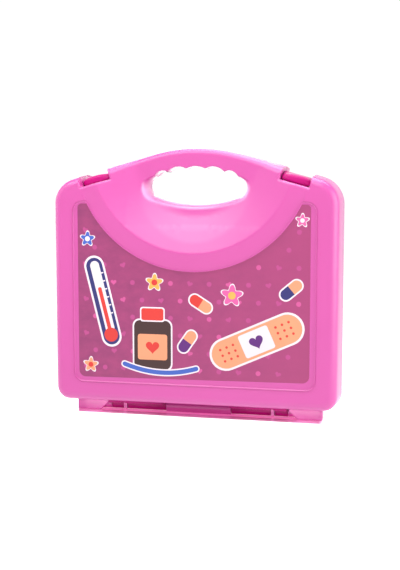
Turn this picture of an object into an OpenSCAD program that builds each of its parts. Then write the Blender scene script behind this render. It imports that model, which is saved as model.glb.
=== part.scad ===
// Toy doctor case: two moulded shells with a carry handle, two snap latches on the
// shoulders, two clip hinges under the bottom edge, a printed front panel and an inner tray.
// X = width, -Y = front (lid), +Z = up. Origin: middle of the footprint, on the floor.

/* [Case] */
// Overall width at the parting line
case_w = 260; // [256:1:264]
// Depth of each shell, from the parting plane to its face
shell_d = 31; // [30:0.5:32]
// Height of the bottom wall above the floor, at the parting plane
base_z = 10.4; // [10.2:0.1:10.6]
// Height of the apex where the two sloping shoulders would meet
apex_z = 246.7; // [246:0.1:247.5]
// Wall thickness of both shells
wall = 2.4; // [2:0.1:2.8]
// Inset of each side wall between the parting plane and the face fillet
draft = 1.9; // [1.5:0.1:2.2]
// Fillet radius between the side walls and the face
face_r = 7.5; // [6:0.5:8]
// Radius of the two lower corners
low_r = 14; // [13:0.5:15]
// Radius of the two shoulder corners
shoulder_r = 25; // [24:0.5:27]
// Gap between the two closed shells
seam = 0.3; // [0.2:0.1:0.5]

/* [Handle] */
// Radius of the top arc of the handle
handle_r = 145; // [140:1:150]
// Height of the centre of the dished shield and of its border arcs
shield_z = 239.4; // [238:0.2:241]
// Radius of the dished shield where it meets the face
shield_r = 92; // [90:1:94]
// Radius of the arc that bounds the printed panel
band_r = 107.3; // [106:0.1:109]
// Depth of the dish at its centre
dish_d = 15.5; // [15:0.1:16]
// Radius of the flat middle of the dish
flat_r = 56; // [54:1:58]
// Height of the bottom of the finger opening
hole_z = 191.3; // [190:0.1:193]

/* [Panel] */
// Half width of the recess for the printed panel
recess_x = 109.3; // [108:0.1:110]
// Bottom of the recess
recess_z0 = 30.4; // [29:0.2:32]
// Top of the recess
recess_z1 = 193.2; // [192:0.2:194]
// Depth of the recess
recess_d = 0.8; // [0.6:0.1:1]
// Thickness of the printed panel
label_t = 0.3; // [0.2:0.1:0.4]
// Half width of the printed panel
label_x = 104.5; // [103:0.1:106]
// Bottom edge of the printed panel, at its left end
label_z0 = 34.3; // [33:0.1:35]
// Rise of the bottom edge from left to right
label_rise = 2.4; // [0:0.1:3]

/* [Hinges] */
// Height of the hinge axis above the floor
axis_z = 4.4; // [4.3:0.1:4.5]
// Radius of the moulded hinge bar
bar_r = 2.2; // [2:0.1:2.4]
// Radial clearance of the hinge barrels on the bar
bar_gap = 0.08; // [0.06:0.01:0.1]
// Outside radius of the hinge barrels
barrel_r = 4.1; // [3.9:0.1:4.2]
// Inner end of each hinge window
win_x0 = 30.2; // [29:0.1:31]
// Outer end of each hinge window
win_x1 = 82.8; // [82:0.1:84]
// Middle of the lid's knuckle
knuckle_x = 69; // [66:0.5:70]

/* [Latches] */
// Distance of each latch from the middle
latch_x = 91.4; // [90.6:0.2:91.8]
// Height of the origin of the latch, a little below the shoulder
latch_z = 217.4; // [217.2:0.1:217.6]
// Slope of the shoulders in degrees
latch_a = 15.8; // [15.6:0.1:16]
// Width of the latch
latch_w = 25.8; // [24.2:0.2:26.2]
// Depth of the latch pivot behind the parting plane
pivot_y = 12; // [11.5:0.1:12.5]
// Drop of the latch pivot below the origin of the latch
pivot_v = 5.2; // [5:0.1:5.4]
// Radius of the stub pins of the latch
pin_r = 1.5; // [1.3:0.1:1.7]
// Radial clearance of the stub pins
pin_gap = 0.07; // [0.05:0.01:0.1]

/* [Hidden] */
$fn = 64;
eps = 0.01;
pink = [0.96, 0.45, 0.77];
magenta = [0.85, 0.04, 0.49];
tray_col = [0.98, 0.88, 0.94];
label_col = [0.78, 0.33, 0.55];

// ---- outline of the case in the parting plane: [x, z, radius] ----
hw = case_w / 2;
sh_end = apex_z - hw * tan(latch_a);      // shoulder line at the side
corners = [[hw, base_z, low_r], [hw, sh_end, shoulder_r], [0, apex_z, handle_r],
           [-hw, sh_end, shoulder_r], [-hw, base_z, low_r]];

function unit(v) = v / norm(v);
function cross2(a, b) = a[0] * b[1] - a[1] * b[0];
// corner i moved inwards by d, along the bisector of its two sides
function moved(c, i, d) = let (n = len(c), p = [c[i][0], c[i][1]],
    a = unit(p - [c[(i + n - 1) % n][0], c[(i + n - 1) % n][1]]),
    b = unit([c[(i + 1) % n][0], c[(i + 1) % n][1]] - p),
    na = [-a[1], a[0]], nb = [-b[1], b[0]])
    p + d * (na + nb) / (1 + na * nb);
// arc of k + 1 points that rounds corner i of the outline moved inwards by d
function arc_at(c, i, d, k) = let (n = len(c), p = moved(c, i, d),
    q0 = moved(c, (i + n - 1) % n, d), q1 = moved(c, (i + 1) % n, d),
    a = unit(p - q0), b = unit(q1 - p), turn = acos(max(-1, min(1, a * b))),
    s = cross2(a, b) > 0 ? 1 : -1,
    r = abs(c[i][2]) - s * d, t = r * tan(turn / 2),
    m = p - a * t + s * r * [-a[1], a[0]])
    [for (j = [0:k]) let (w = s * turn * j / k - s * 90, u = [a[0] * cos(w) - a[1] * sin(w), a[0] * sin(w) + a[1] * cos(w)]) m + r * u];
steps = [8, 10, 14, 10, 8];
function ring(d) = [for (i = [0:len(corners) - 1]) each arc_at(corners, i, d, steps[i])];

// closed skin through rings at the given [depth, inset] levels; depth runs along local +z
module skin(levels) {
    rings = [for (l = levels) [for (p = ring(l[1])) [p[0], p[1], l[0]]]];
    n = len(rings[0]); m = len(rings);
    pts = [for (r = rings) each r];
    polyhedron(points = pts, faces = concat([[for (i = [0:n - 1]) i]],
        [for (k = [0:m - 2]) for (i = [0:n - 1]) each
            [[k * n + i, (k + 1) * n + i, k * n + (i + 1) % n],
             [k * n + (i + 1) % n, (k + 1) * n + i, (k + 1) * n + (i + 1) % n]]],
        [[for (i = [n - 1:-1:0]) (m - 1) * n + i]]), convexity = 6);
}

fil = [0, 30, 60, 90];
outer_levels = concat([[seam / 2, 0]], [for (f = fil)
    [shell_d - face_r + face_r * sin(f), draft + face_r * (1 - cos(f))]]);
in_r = face_r - wall;
inner_levels = concat([[-1, wall]], [for (f = fil)
    [shell_d - face_r + in_r * sin(f), wall + draft + in_r * (1 - cos(f))]]);

// section of the tool that dishes the shield: flat in front of the handle, then a cone out
// to the face, which it meets in a circle of radius shield_r. Moved into the shell by g.
dish_a = atan2(dish_d, shield_r - flat_r);
function dish_section(g) = [[0, shell_d - dish_d - g], [flat_r + g * tan(dish_a / 2), shell_d - dish_d - g],
    [shield_r + g * sin(dish_a) + 20, shell_d - g * cos(dish_a) + 20 * tan(dish_a)],
    [shield_r + 20, 70], [0, 70]];

// local frame: x, z of the case in the sketch plane, depth along +z. Stands it up, facing -Y
module stand() { rotate([90, 0, 0]) children(); }

module dish(grow) {
    translate([0, shield_z, 0]) rotate_extrude($fn = 96) polygon(dish_section(grow));
}
module outer() { difference() { skin(outer_levels); dish(0); } }
module inner() { difference() { skin(inner_levels); dish(wall); } }

// ---- finger opening, grown by e: five scallops above, one shallow arc below ----
low_arc = 113.6;
module hole2d(e) {
    intersection() {
        union() {
            translate([-35, hole_z - 6]) square([70, 26.7]);
            translate([0, hole_z + 14.8]) circle(18.3 + e);
            for (s = [-1, 1]) {
                translate([s * 15.5, hole_z + 19.6]) circle(13.2 + e);
                translate([s * 30.05, hole_z + 21.1]) circle(8.2 + e);
                translate([s * 34.9, hole_z + 15]) circle(9.3 + e);
            }
        }
        translate([0, hole_z + low_arc]) circle(low_arc + e, $fn = 96);
    }
}

// ---- latch frame: u along the shoulder, v square to it, local z = depth ----
module at_latch(s) {
    translate([s * latch_x, latch_z, 0]) rotate([0, 0, -s * latch_a]) children();
}
lw = latch_w / 2;
lg = 0.5;                            // gap beside the latch
nose_y = 21.5;                       // front of the nose
nose_b = 18.9;                       // back of the nose
module block(u, v0, v1, z0, z1) {
    translate([-u, v0, z0]) cube([2 * u, v1 - v0, z1 - z0]);
}

// shell common to both halves, in the local frame; e widens the finger opening
module half_shell(e) {
    difference() {
        union() {
            difference() { outer(); inner(); }
            intersection() {
                outer();
                union() {
                    // wall round the finger opening
                    linear_extrude(height = 40) difference() { hole2d(e + 2.2); hole2d(e - 0.5); }
                    // wall between the compartment and the handle
                    translate([0, shield_z, 0]) difference() {
                        cylinder(r = 62.2, h = 40, $fn = 120);
                        translate([0, 0, -1]) cylinder(r = 60, h = 42, $fn = 120);
                        translate([-70, -19, -1]) cube([140, 100, 50]);
                    }
                }
            }
        }
        translate([0, 0, -5]) linear_extrude(height = 50) hole2d(e);
    }
}

// ---- lid ----
module recess2d(x1, z0, z1, r, rr) {
    difference() {
        union() {
            translate([-x1 + r, z0]) square([2 * (x1 - r), z1 - z0]);
            translate([-x1, z0 + r]) square([2 * x1, z1 - z0 - 2 * r]);
            for (s = [-1, 1]) for (z = [z0 + r, z1 - r]) translate([s * (x1 - r), z]) circle(r);
        }
        translate([0, shield_z]) circle(rr, $fn = 96);
    }
}
module xcyl(r, x0, x1) { translate([x0, 0, axis_z]) rotate([0, 90, 0]) cylinder(r = r, h = x1 - x0, $fn = 48); }

module front_shell() color(pink) {
    difference() {
        union() {
            stand() difference() {
                union() {
                    half_shell(0);
                    // pockets for the latch noses
                    intersection() {
                        outer();
                        for (s = [-1, 1]) at_latch(s) block(lw + lg + 2, -10.2, 12, 0, 40);
                    }
                }
                for (s = [-1, 1]) at_latch(s) block(lw + lg, -8.2, 14, -5, 45);
                // recess for the printed panel
                translate([0, 0, shell_d - recess_d]) linear_extrude(height = 5)
                    recess2d(recess_x, recess_z0, recess_z1, 9, band_r);
            }
            for (s = [-1, 1]) {
                // knuckle on the hinge bar
                xcyl(barrel_r, s * knuckle_x - 1.4, s * knuckle_x + 1.4);
                translate([s * knuckle_x - 1.4, -5.4, 1]) cube([2.8, 4.9, axis_z + 7]);
                // flat pad above the hinge leaf, with two pegs
                translate([s > 0 ? win_x0 + 0.8 : -win_x1 + 1.6, -16.3, base_z]) cube([win_x1 - win_x0 - 2.4, 12.3, 2.3]);
                for (x = [42, 56]) translate([s * x, -10.6, 8.2]) cylinder(r = 1.6, h = 4.5, $fn = 32);
                // foot, with its inner lower corner cut off
                mirror([s < 0 ? 1 : 0, 0, 0]) translate([0, -4.6, 0]) rotate([90, 0, 0]) linear_extrude(height = 5)
                    polygon([[84, 13], [84, 7.5], [91.5, 0], [114, 0], [114, 13]]);
            }
        }
        for (s = [-1, 1]) xcyl(bar_r + bar_gap, s * knuckle_x - 3, s * knuckle_x + 3);
    }
}

// ---- back shell ----
module back_shell() color(pink) {
    difference() {
        union() {
            mirror([0, 1, 0]) stand() union() {
                half_shell(1.2);
                intersection() {
                    outer();
                    for (s = [-1, 1]) at_latch(s) block(lw + lg + 2.4, -11.4, 12, 0, 40);
                }
            }
            // hinge rail, with the thin bar showing in the two windows
            difference() {
                union() {
                    xcyl(barrel_r, -114, 114);
                    translate([-114, seam / 2, axis_z]) cube([228, 4.05, 7.2]);
                }
                for (s = [-1, 1]) translate([s > 0 ? win_x0 : -win_x1, -10, -1]) cube([win_x1 - win_x0, 20, 13.5]);
            }
            xcyl(bar_r, -win_x1 - 1, -win_x0 + 1);
            xcyl(bar_r, win_x0 - 1, win_x1 + 1);
            // middle foot
            translate([-win_x0, -3.5, 0]) cube([2 * win_x0, 23.5, axis_z]);
            translate([-win_x0, seam / 2, axis_z - eps]) cube([2 * win_x0, 20 - seam / 2, 8.2]);
        }
        mirror([0, 1, 0]) stand() for (s = [-1, 1]) at_latch(s) {
            block(lw + lg, -9.4, 14, -5, 45);
            // holes for the stub pins
            translate([0, -pivot_v, pivot_y]) rotate([0, 90, 0])
                translate([0, 0, -lw - lg - 2]) cylinder(r = pin_r + pin_gap, h = 2 * (lw + lg + 2), $fn = 40);
        }
    }
}

// ---- printed panel ----
module front_label() color(label_col) stand()
    translate([0, 0, shell_d - recess_d]) linear_extrude(height = label_t) intersection() {
        recess2d(label_x, label_z0, recess_z1 - 2.3, 6, band_r + 0.9);
        polygon([[-label_x, label_z0], [label_x, label_z0 + label_rise], [label_x, 200], [-label_x, 200]]);
    }

// ---- latch: top plate, nose, hub and stub pins, in the latch frame (local z = depth to the front) ----
module latch(s) color(magenta) stand() at_latch(s) {
    difference() {
        union() {
            block(lw, -3.3, -0.8, -pivot_y, 18.1);
            // rounded front edge of the plate
            translate([-lw, -4.2, 18.1]) rotate([0, 90, 0]) cylinder(r = 3.4, h = 2 * lw, $fn = 40);
            // nose
            block(lw, -7.8, -4.2, nose_b, nose_y);
            // hub
            translate([-lw, -pivot_v, -pivot_y]) rotate([0, 90, 0]) cylinder(r = 3, h = 2 * lw, $fn = 40);
            block(lw, -pivot_v, -0.8, -pivot_y - 3, -pivot_y + 3);
        }
        block(lw + 1, -12, -3.3, -pivot_y + 3 + eps, nose_b);
    }
    translate([-lw - 1.9, -pivot_v, -pivot_y]) rotate([0, 90, 0]) cylinder(r = pin_r, h = 2 * lw + 3.8, $fn = 40);
}
module latch_left() { latch(-1); }
module latch_right() { latch(1); }

// ---- hinge clip: two open barrels on the bar and a leaf pegged under the lid ----
module clip_piece(x0, x1) {
    difference() {
        union() {
            xcyl(barrel_r, x0, x1);
            translate([x0, -barrel_r, axis_z]) cube([x1 - x0, barrel_r - 0.8, base_z - axis_z - 0.05]);
        }
        // the bar, and the slot the bar snaps in through
        xcyl(bar_r + bar_gap, x0 - 1, x1 + 1);
        translate([x0 - 1, 0, axis_z - 1.7]) cube([x1 - x0 + 2, 6, 3.4]);
    }
}
module hinge_clip(s) color(magenta) mirror([s < 0 ? 1 : 0, 0, 0]) {
    clip_piece(win_x0 + 0.4, knuckle_x - 1.8);
    clip_piece(knuckle_x + 1.8, win_x1 - 0.4);
    difference() {
        union() {
            translate([win_x0 + 0.4, -15.5, 8.4]) cube([knuckle_x - 1.8 - win_x0 - 0.4, 13, base_z - 8.45]);
            translate([knuckle_x + 1.8, -15.5, 8.4]) cube([win_x1 - knuckle_x - 2.2, 13, base_z - 8.45]);
            translate([win_x0 + 0.4, -15.5, 9.3]) cube([win_x1 - win_x0 - 0.8, 9.5, base_z - 9.35]);
        }
        for (x = [42, 56]) translate([x, -10.6, 5]) cylinder(r = 1.65, h = 8, $fn = 32);
    }
}
module hinge_left() { hinge_clip(-1); }
module hinge_right() { hinge_clip(1); }

// ---- inner tray: flange and five pockets; [x, z, half width, half height, corner radius] ----
tray_t = 1.3;
tray_y = 2.2;
tray_b = shell_d - wall;
pockets = [[-66, 98, 43, 43, 42.9], [38, 37, 74, 14, 8], [50, 76, 62, 15, 8], [50, 117, 62, 16, 10],
           [-92, 37, 22, 14, 8]];
module pocket2d(p, e) {
    r = p[4] + e; x = p[2] + e; z = p[3] + e;
    translate([p[0], p[1]]) union() {
        translate([-x + r, -z]) square([2 * (x - r), 2 * z]);
        translate([-x, -z + r]) square([2 * x, 2 * (z - r)]);
        for (a = [-1, 1]) for (b = [-1, 1]) translate([a * (x - r), b * (z - r)]) circle(r);
    }
}
module inner_tray() color(tray_col) mirror([0, 1, 0]) stand() {
    difference() {
        union() {
            translate([0, 0, tray_y]) linear_extrude(height = tray_t) difference() {
                intersection() {
                    polygon(ring(wall + 2.0));
                    translate([-140, 0]) square([280, 190]);
                }
                translate([0, shield_z]) circle(64, $fn = 120);
            }
            translate([0, 0, tray_y]) linear_extrude(height = tray_b - tray_y - 0.02) for (p = pockets) pocket2d(p, tray_t);
        }
        translate([0, 0, -1]) linear_extrude(height = tray_b - tray_t + 0.98) for (p = pockets) pocket2d(p, 0);
    }
    // post in the middle of the round pocket
    translate([-66, 98, 12]) difference() {
        cylinder(r = 14, h = tray_b - 12 - 0.02);
        translate([0, 0, tray_t]) cylinder(r = 14 - tray_t, h = 30);
    }
}

front_shell();
back_shell();
front_label();
latch_left();
latch_right();
hinge_left();
hinge_right();
inner_tray();
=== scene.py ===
"""Toy doctor case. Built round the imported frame; every length below is in millimetres until mesh_object()."""

import math

import bpy
import bmesh
import numpy as np
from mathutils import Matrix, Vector
from mathutils.geometry import delaunay_2d_cdt


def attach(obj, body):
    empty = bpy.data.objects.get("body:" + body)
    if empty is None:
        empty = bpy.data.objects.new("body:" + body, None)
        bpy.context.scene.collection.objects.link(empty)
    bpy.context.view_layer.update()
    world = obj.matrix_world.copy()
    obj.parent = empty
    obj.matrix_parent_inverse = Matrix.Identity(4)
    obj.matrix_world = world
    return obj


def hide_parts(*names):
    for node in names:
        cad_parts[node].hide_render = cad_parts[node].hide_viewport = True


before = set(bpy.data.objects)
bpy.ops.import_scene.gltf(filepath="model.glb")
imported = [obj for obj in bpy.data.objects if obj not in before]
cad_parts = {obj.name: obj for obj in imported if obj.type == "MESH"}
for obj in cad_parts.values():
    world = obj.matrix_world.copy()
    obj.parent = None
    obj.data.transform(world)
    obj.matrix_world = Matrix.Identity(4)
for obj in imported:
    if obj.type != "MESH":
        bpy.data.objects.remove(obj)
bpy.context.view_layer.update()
scene = bpy.context.scene

# ---------------------------------------------------------------- camera
cam = bpy.data.objects.new("camera", bpy.data.cameras.new("camera"))
scene.collection.objects.link(cam)
cam.location = (0.200875, -0.880584, 0.211683)
cam.rotation_euler = (math.radians(84.05), 0, math.radians(12.8))
cam.data.sensor_width = 36
cam.data.lens = 36 * 1000 / 570
cam.data.clip_start, cam.data.clip_end = 0.01, 50
scene.camera = cam

# ---------------------------------------------------------------- sizes (as in the CAD part)
CASE_W, SHELL_D, BASE_Z, APEX_Z = 260.0, 31.0, 10.4, 246.7
DRAFT = 1.9
K = math.tan(math.radians(4.5))
LATCH_X, LATCH_Z, LATCH_A = 91.4, 217.4, math.radians(15.8)
LW, LG = 12.9, 0.5
SHIELD_Z, SHIELD_R, BAND_R, FLAT_R = 239.9, 92.0, 107.3, 56.0
CAD_SHIELD_Z = 239.4
HOLE_Z = 191.3
AXIS_Z = 4.4
HW = CASE_W / 2
SH_END = APEX_Z - HW * math.tan(LATCH_A)
CORNERS = [(HW, BASE_Z, 14), (HW, SH_END, 25), (0, APEX_Z, 145), (-HW, SH_END, 25), (-HW, BASE_Z, 14)]


# ---------------------------------------------------------------- 2D helpers
def unit(v):
    return v / np.linalg.norm(v)


def rounded(corners, d, step):
    """Closed polyline (anticlockwise) of a polygon with rounded corners, moved inwards by d."""
    c = [np.array(p[:2], float) for p in corners]
    n = len(c)

    def moved(i):
        a, b = unit(c[i] - c[i - 1]), unit(c[(i + 1) % n] - c[i])
        na, nb = np.array([-a[1], a[0]]), np.array([-b[1], b[0]])
        return c[i] + d * (na + nb) / (1 + na @ nb)

    q = [moved(i) for i in range(n)]
    pts = []
    for i in range(n):
        a, b = unit(q[i] - q[i - 1]), unit(q[(i + 1) % n] - q[i])
        turn = math.acos(max(-1, min(1, a @ b)))
        s = 1 if a[0] * b[1] - a[1] * b[0] > 0 else -1
        r = max(abs(corners[i][2]) - s * d, 0.05)
        t = r * math.tan(turn / 2)
        na = np.array([-a[1], a[0]])
        m = q[i] - a * t + s * r * na
        k = max(2, int(r * turn / step) + 1)
        for j in range(k + 1):
            w = s * turn * j / k
            pts.append(m - s * r * (math.cos(w) * na - math.sin(w) * a))
    return resample_edges(np.array(pts), step)


def resample_edges(p, step):
    out = []
    for a, b in zip(p, np.roll(p, -1, 0)):
        k = max(1, int(np.linalg.norm(b - a) / step + 0.5))
        out += [a + (b - a) * j / k for j in range(k)]
    return clean(np.array(out))


def clean(p, tol=0.02):
    keep = np.linalg.norm(p - np.roll(p, 1, 0), axis=1) > tol
    return p[keep]


def resample(p, step):
    """Closed polyline at an even spacing."""
    q = np.vstack([p, p[:1]])
    d = np.r_[0, np.cumsum(np.linalg.norm(np.diff(q, axis=0), axis=1))]
    n = int(d[-1] / step)
    t = np.linspace(0, d[-1], n, endpoint=False)
    return np.c_[np.interp(t, d, q[:, 0]), np.interp(t, d, q[:, 1])]


def normals(p):
    """Left normals (inwards for an anticlockwise loop) of a closed polyline."""
    t = np.roll(p, -1, 0) - np.roll(p, 1, 0)
    t /= np.linalg.norm(t, axis=1)[:, None]
    return np.c_[-t[:, 1], t[:, 0]]


def dist(pts, poly):
    """Distance from each point to a closed polyline."""
    a, b = poly, np.roll(poly, -1, 0)
    ab = b - a
    l2 = (ab ** 2).sum(1) + 1e-12
    out = np.empty(len(pts))
    for i in range(0, len(pts), 2000):
        p = pts[i:i + 2000, None, :]
        t = np.clip(((p - a) * ab).sum(2) / l2, 0, 1)
        out[i:i + 2000] = np.sqrt((((p - a) - t[..., None] * ab) ** 2).sum(2)).min(1)
    return out


def inside(pts, poly):
    x, y = pts[:, 0][:, None], pts[:, 1][:, None]
    x0, y0 = poly[:, 0], poly[:, 1]
    x1, y1 = np.roll(x0, -1), np.roll(y0, -1)
    hit = (y0 > y) != (y1 > y)
    with np.errstate(divide="ignore", invalid="ignore"):
        xc = x0 + (y - y0) * (x1 - x0) / (y1 - y0)
    return (hit & (x < xc)).sum(1) % 2 == 1


def smooth(t):
    t = np.clip(t, 0, 1)
    return t * t * (3 - 2 * t)


def lat(p, s):
    """(u, v) in the frame of the latch on side s."""
    d = p - np.array([s * LATCH_X, LATCH_Z])
    c, n = math.cos(LATCH_A), math.sin(LATCH_A)
    return np.c_[d[:, 0] * c - s * d[:, 1] * n, s * d[:, 0] * n + d[:, 1] * c]


def unlat(q, s):
    c, n = math.cos(LATCH_A), math.sin(LATCH_A)
    q = np.atleast_2d(q)
    return np.c_[s * LATCH_X + q[:, 0] * c + s * q[:, 1] * n, LATCH_Z - s * q[:, 0] * n + q[:, 1] * c]


# ---------------------------------------------------------------- finger opening
def hole_inside(p, e):
    z = HOLE_Z
    x, y = p[:, 0], p[:, 1]
    a = (np.abs(x) < 35) & (y > z - 6) & (y < z + 20.7)
    a |= x ** 2 + (y - z - 14.8) ** 2 < (18.3 + e) ** 2
    for s in (-1, 1):
        for cx, cz, r in ((15.5, 19.6, 13.2), (30.05, 21.1, 8.2), (34.9, 15.0, 9.3)):
            a |= (x - s * cx) ** 2 + (y - z - cz) ** 2 < (r + e) ** 2
    return a & (x ** 2 + (y - z - 113.6) ** 2 < (113.6 + e) ** 2)


def hole_curve(e):
    n = 1800
    w = np.linspace(0, 2 * np.pi, n, endpoint=False)
    c = np.array([0, 206.5])
    lo, hi = np.zeros(n), np.full(n, 60.0)
    u = np.c_[np.cos(w), np.sin(w)]
    for _ in range(22):
        mid = (lo + hi) / 2
        m = hole_inside(c + u * mid[:, None], e)
        lo, hi = np.where(m, mid, lo), np.where(m, hi, mid)
    p = resample(c + u * lo[:, None], 0.25)
    for _ in range(12):                       # rounds the cusps between the scallops
        p = 0.25 * np.roll(p, 1, 0) + 0.5 * p + 0.25 * np.roll(p, -1, 0)
    return resample(p, 0.8)


HOLES = {True: hole_curve(0.0), False: hole_curve(1.2)}


def hole_fillet(p):
    """Rounding of the opening's edge, across and in depth: wide below and at the ends, small at the scallops."""
    w = smooth((p[:, 1] - 210.0) / 8.0)
    return 5.8 * (1 - w) + 1.1 * w, 12.5 * (1 - w) + 2.2 * w


# ---------------------------------------------------------------- depth of the shell's face
REC_X, REC_Z0, REC_Z1, REC_R = 109.3, 30.9, 193.6, 8.5
REC = rounded([(REC_X, REC_Z0, REC_R), (REC_X, REC_Z1, REC_R), (-REC_X, REC_Z1, REC_R), (-REC_X, REC_Z0, REC_R)], 0, 2.0)
FACE_D, CREST_D, REC_D, BAND_D, HANDLE_D = 30.1, 31.0, 29.25, 29.5, 15.5


def face_depth(p, front):
    """Depth of the face before any edge is rounded."""
    r = np.hypot(p[:, 0], p[:, 1] - SHIELD_Z)
    slope = (CREST_D - HANDLE_D) / (SHIELD_R - FLAT_R)
    soft = 5.0
    t = (r - FLAT_R)
    cone = HANDLE_D + slope * np.where(t < -soft, 0, np.where(t > soft, t, (t + soft) ** 2 / (4 * soft)))
    face = np.full(len(p), FACE_D)
    if front:
        rin = np.where(inside(p, REC), 1, -1) * dist(p, REC)
        rec = smooth((rin + 0.8) / 1.6)
        face = face * (1 - rec) + REC_D * rec
        # printed panel's border band below the shield
        f = np.clip((r - SHIELD_R) / (BAND_R - 0.9 - SHIELD_R), 0, 1)
        band = CREST_D + (BAND_D - CREST_D) * f
        low = smooth((204 - p[:, 1]) / 14)          # the band runs into the frame above the shoulders
        edge = smooth((BAND_R + 0.25 - r) / 0.5)
        band = band * low + (CREST_D + (FACE_D - CREST_D) * smooth(f)) * (1 - low)
        face = face * (1 - edge) + band * edge
    else:
        f = smooth((r - SHIELD_R) / 10)
        face = CREST_D + (FACE_D - CREST_D) * f
    # the crest between cone and band is rounded by a hair
    k = 0.35
    h = np.clip(0.5 + 0.5 * (face - cone) / k, 0, 1)
    return face * (1 - h) + cone * h - k * h * (1 - h)


def edge_depth(s, dm, r, k):
    """Wall with draft k, then a fillet of radius r up to depth dm; s is the distance from the edge."""
    r = np.minimum(r, dm - 1.0)
    a = math.atan(k)
    sc = k * (dm - r) + r * math.sqrt(1 + k * k)
    st = sc - r * math.cos(a)
    wall = s / max(k, 1e-6)
    arc = dm - r + np.sqrt(np.maximum(r * r - np.minimum(sc - s, r) ** 2, 0))
    return np.where(s < st, wall, np.where(s < sc, arc, dm))


def outer_fillet(p):
    r = np.hypot(p[:, 0], p[:, 1] - SHIELD_Z)
    return 5.6 + 1.9 * smooth((r - 60) / 30)


def soft_min(a, b, k):
    h = np.clip(0.5 + 0.5 * (b - a) / k, 0, 1)
    return b * (1 - h) + a * h - k * h * (1 - h)


OUT = rounded(CORNERS, 0, 1.3)
NOTCH_R = 2.6
NOTCH_V = {True: -8.2, False: -9.4}


def notch_loop(s, e, v0, top=14.0, rr=1.4):
    """Outline of a latch notch grown by e."""
    u, v = LW + LG + e, v0 - e
    c = [(-u, v, rr + e), (u, v, rr + e), (u, top, 0.3), (-u, top, 0.3)]
    return unlat(rounded(c, 0, 0.8), s)


def depth(p, front):
    dm = face_depth(p, front)
    so = np.where(inside(p, OUT), dist(p, OUT), 0)
    d = edge_depth(so, dm, outer_fillet(p), K)
    near = (np.abs(p[:, 0]) < 62) & (np.abs(p[:, 1] - 206) < 35)
    sh = np.full(len(p), 30.0)
    sh[near] = dist(p[near], HOLES[front])
    rf, rd = hole_fillet(p)
    rd = np.minimum(rd, dm - 1.5)
    t = np.clip(1 - sh / rf, 0, 1)
    dh = dm - rd + rd * np.sqrt(1 - t * t)
    d = np.where(near, soft_min(d, dh, 0.5), d)
    v0 = NOTCH_V[front]
    for s in (-1, 1):
        q = lat(p, s)
        du = np.abs(q[:, 0]) - (LW + LG)
        dv = v0 - q[:, 1]
        sn = np.where((du > 0) & (dv > 0), np.hypot(du, dv), np.maximum(du, dv))
        sn = np.maximum(sn, 0)
        t = np.clip(1 - sn / NOTCH_R, 0, 1)
        dn = dm - NOTCH_R + NOTCH_R * np.sqrt(1 - t * t)
        d = np.where(sn < NOTCH_R + 1, soft_min(d, dn, 0.3), d)
    return np.maximum(d, 0.6)


# ---------------------------------------------------------------- mesh of one shell's outside
def cut_notches(loop, front):
    """The outline with the two latch notches taken out."""
    v0, rr, u = NOTCH_V[front], 1.4, LW + LG
    for s in (-1, 1):
        q = lat(loop, s)
        i = np.where((np.abs(q[:, 0]) < u) & (q[:, 1] > -6))[0]
        qa, qb = q[i[0] - 1], q[i[-1] + 1]
        ua, ub = math.copysign(u, qa[0]), math.copysign(u, qb[0])

        def at(p0, p1, uu):
            return p0[1] + (p1[1] - p0[1]) * (uu - p0[0]) / (p1[0] - p0[0])

        za, zb = at(qa, q[i[0]], ua), at(q[i[-1]], qb, ub)
        w = np.linspace(0, math.pi / 2, 6)[1:-1]
        path = [(ua, z) for z in np.linspace(za, v0 + rr, 16)]
        path += [(ua - math.copysign(rr * (1 - math.cos(t)), ua), v0 + rr - rr * math.sin(t)) for t in w]
        path += [(x, v0) for x in np.linspace(ua - math.copysign(rr, ua), ub - math.copysign(rr, ub), 30)]
        path += [(ub - math.copysign(rr * (1 - math.cos(t)), ub), v0 + rr - rr * math.sin(t)) for t in w[::-1]]
        path += [(ub, z) for z in np.linspace(v0 + rr, zb, 16)]
        loop = np.vstack([loop[:i[0]], unlat(np.array(path), s), loop[i[-1] + 1:]])
    return clean(loop, 0.05)


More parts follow.
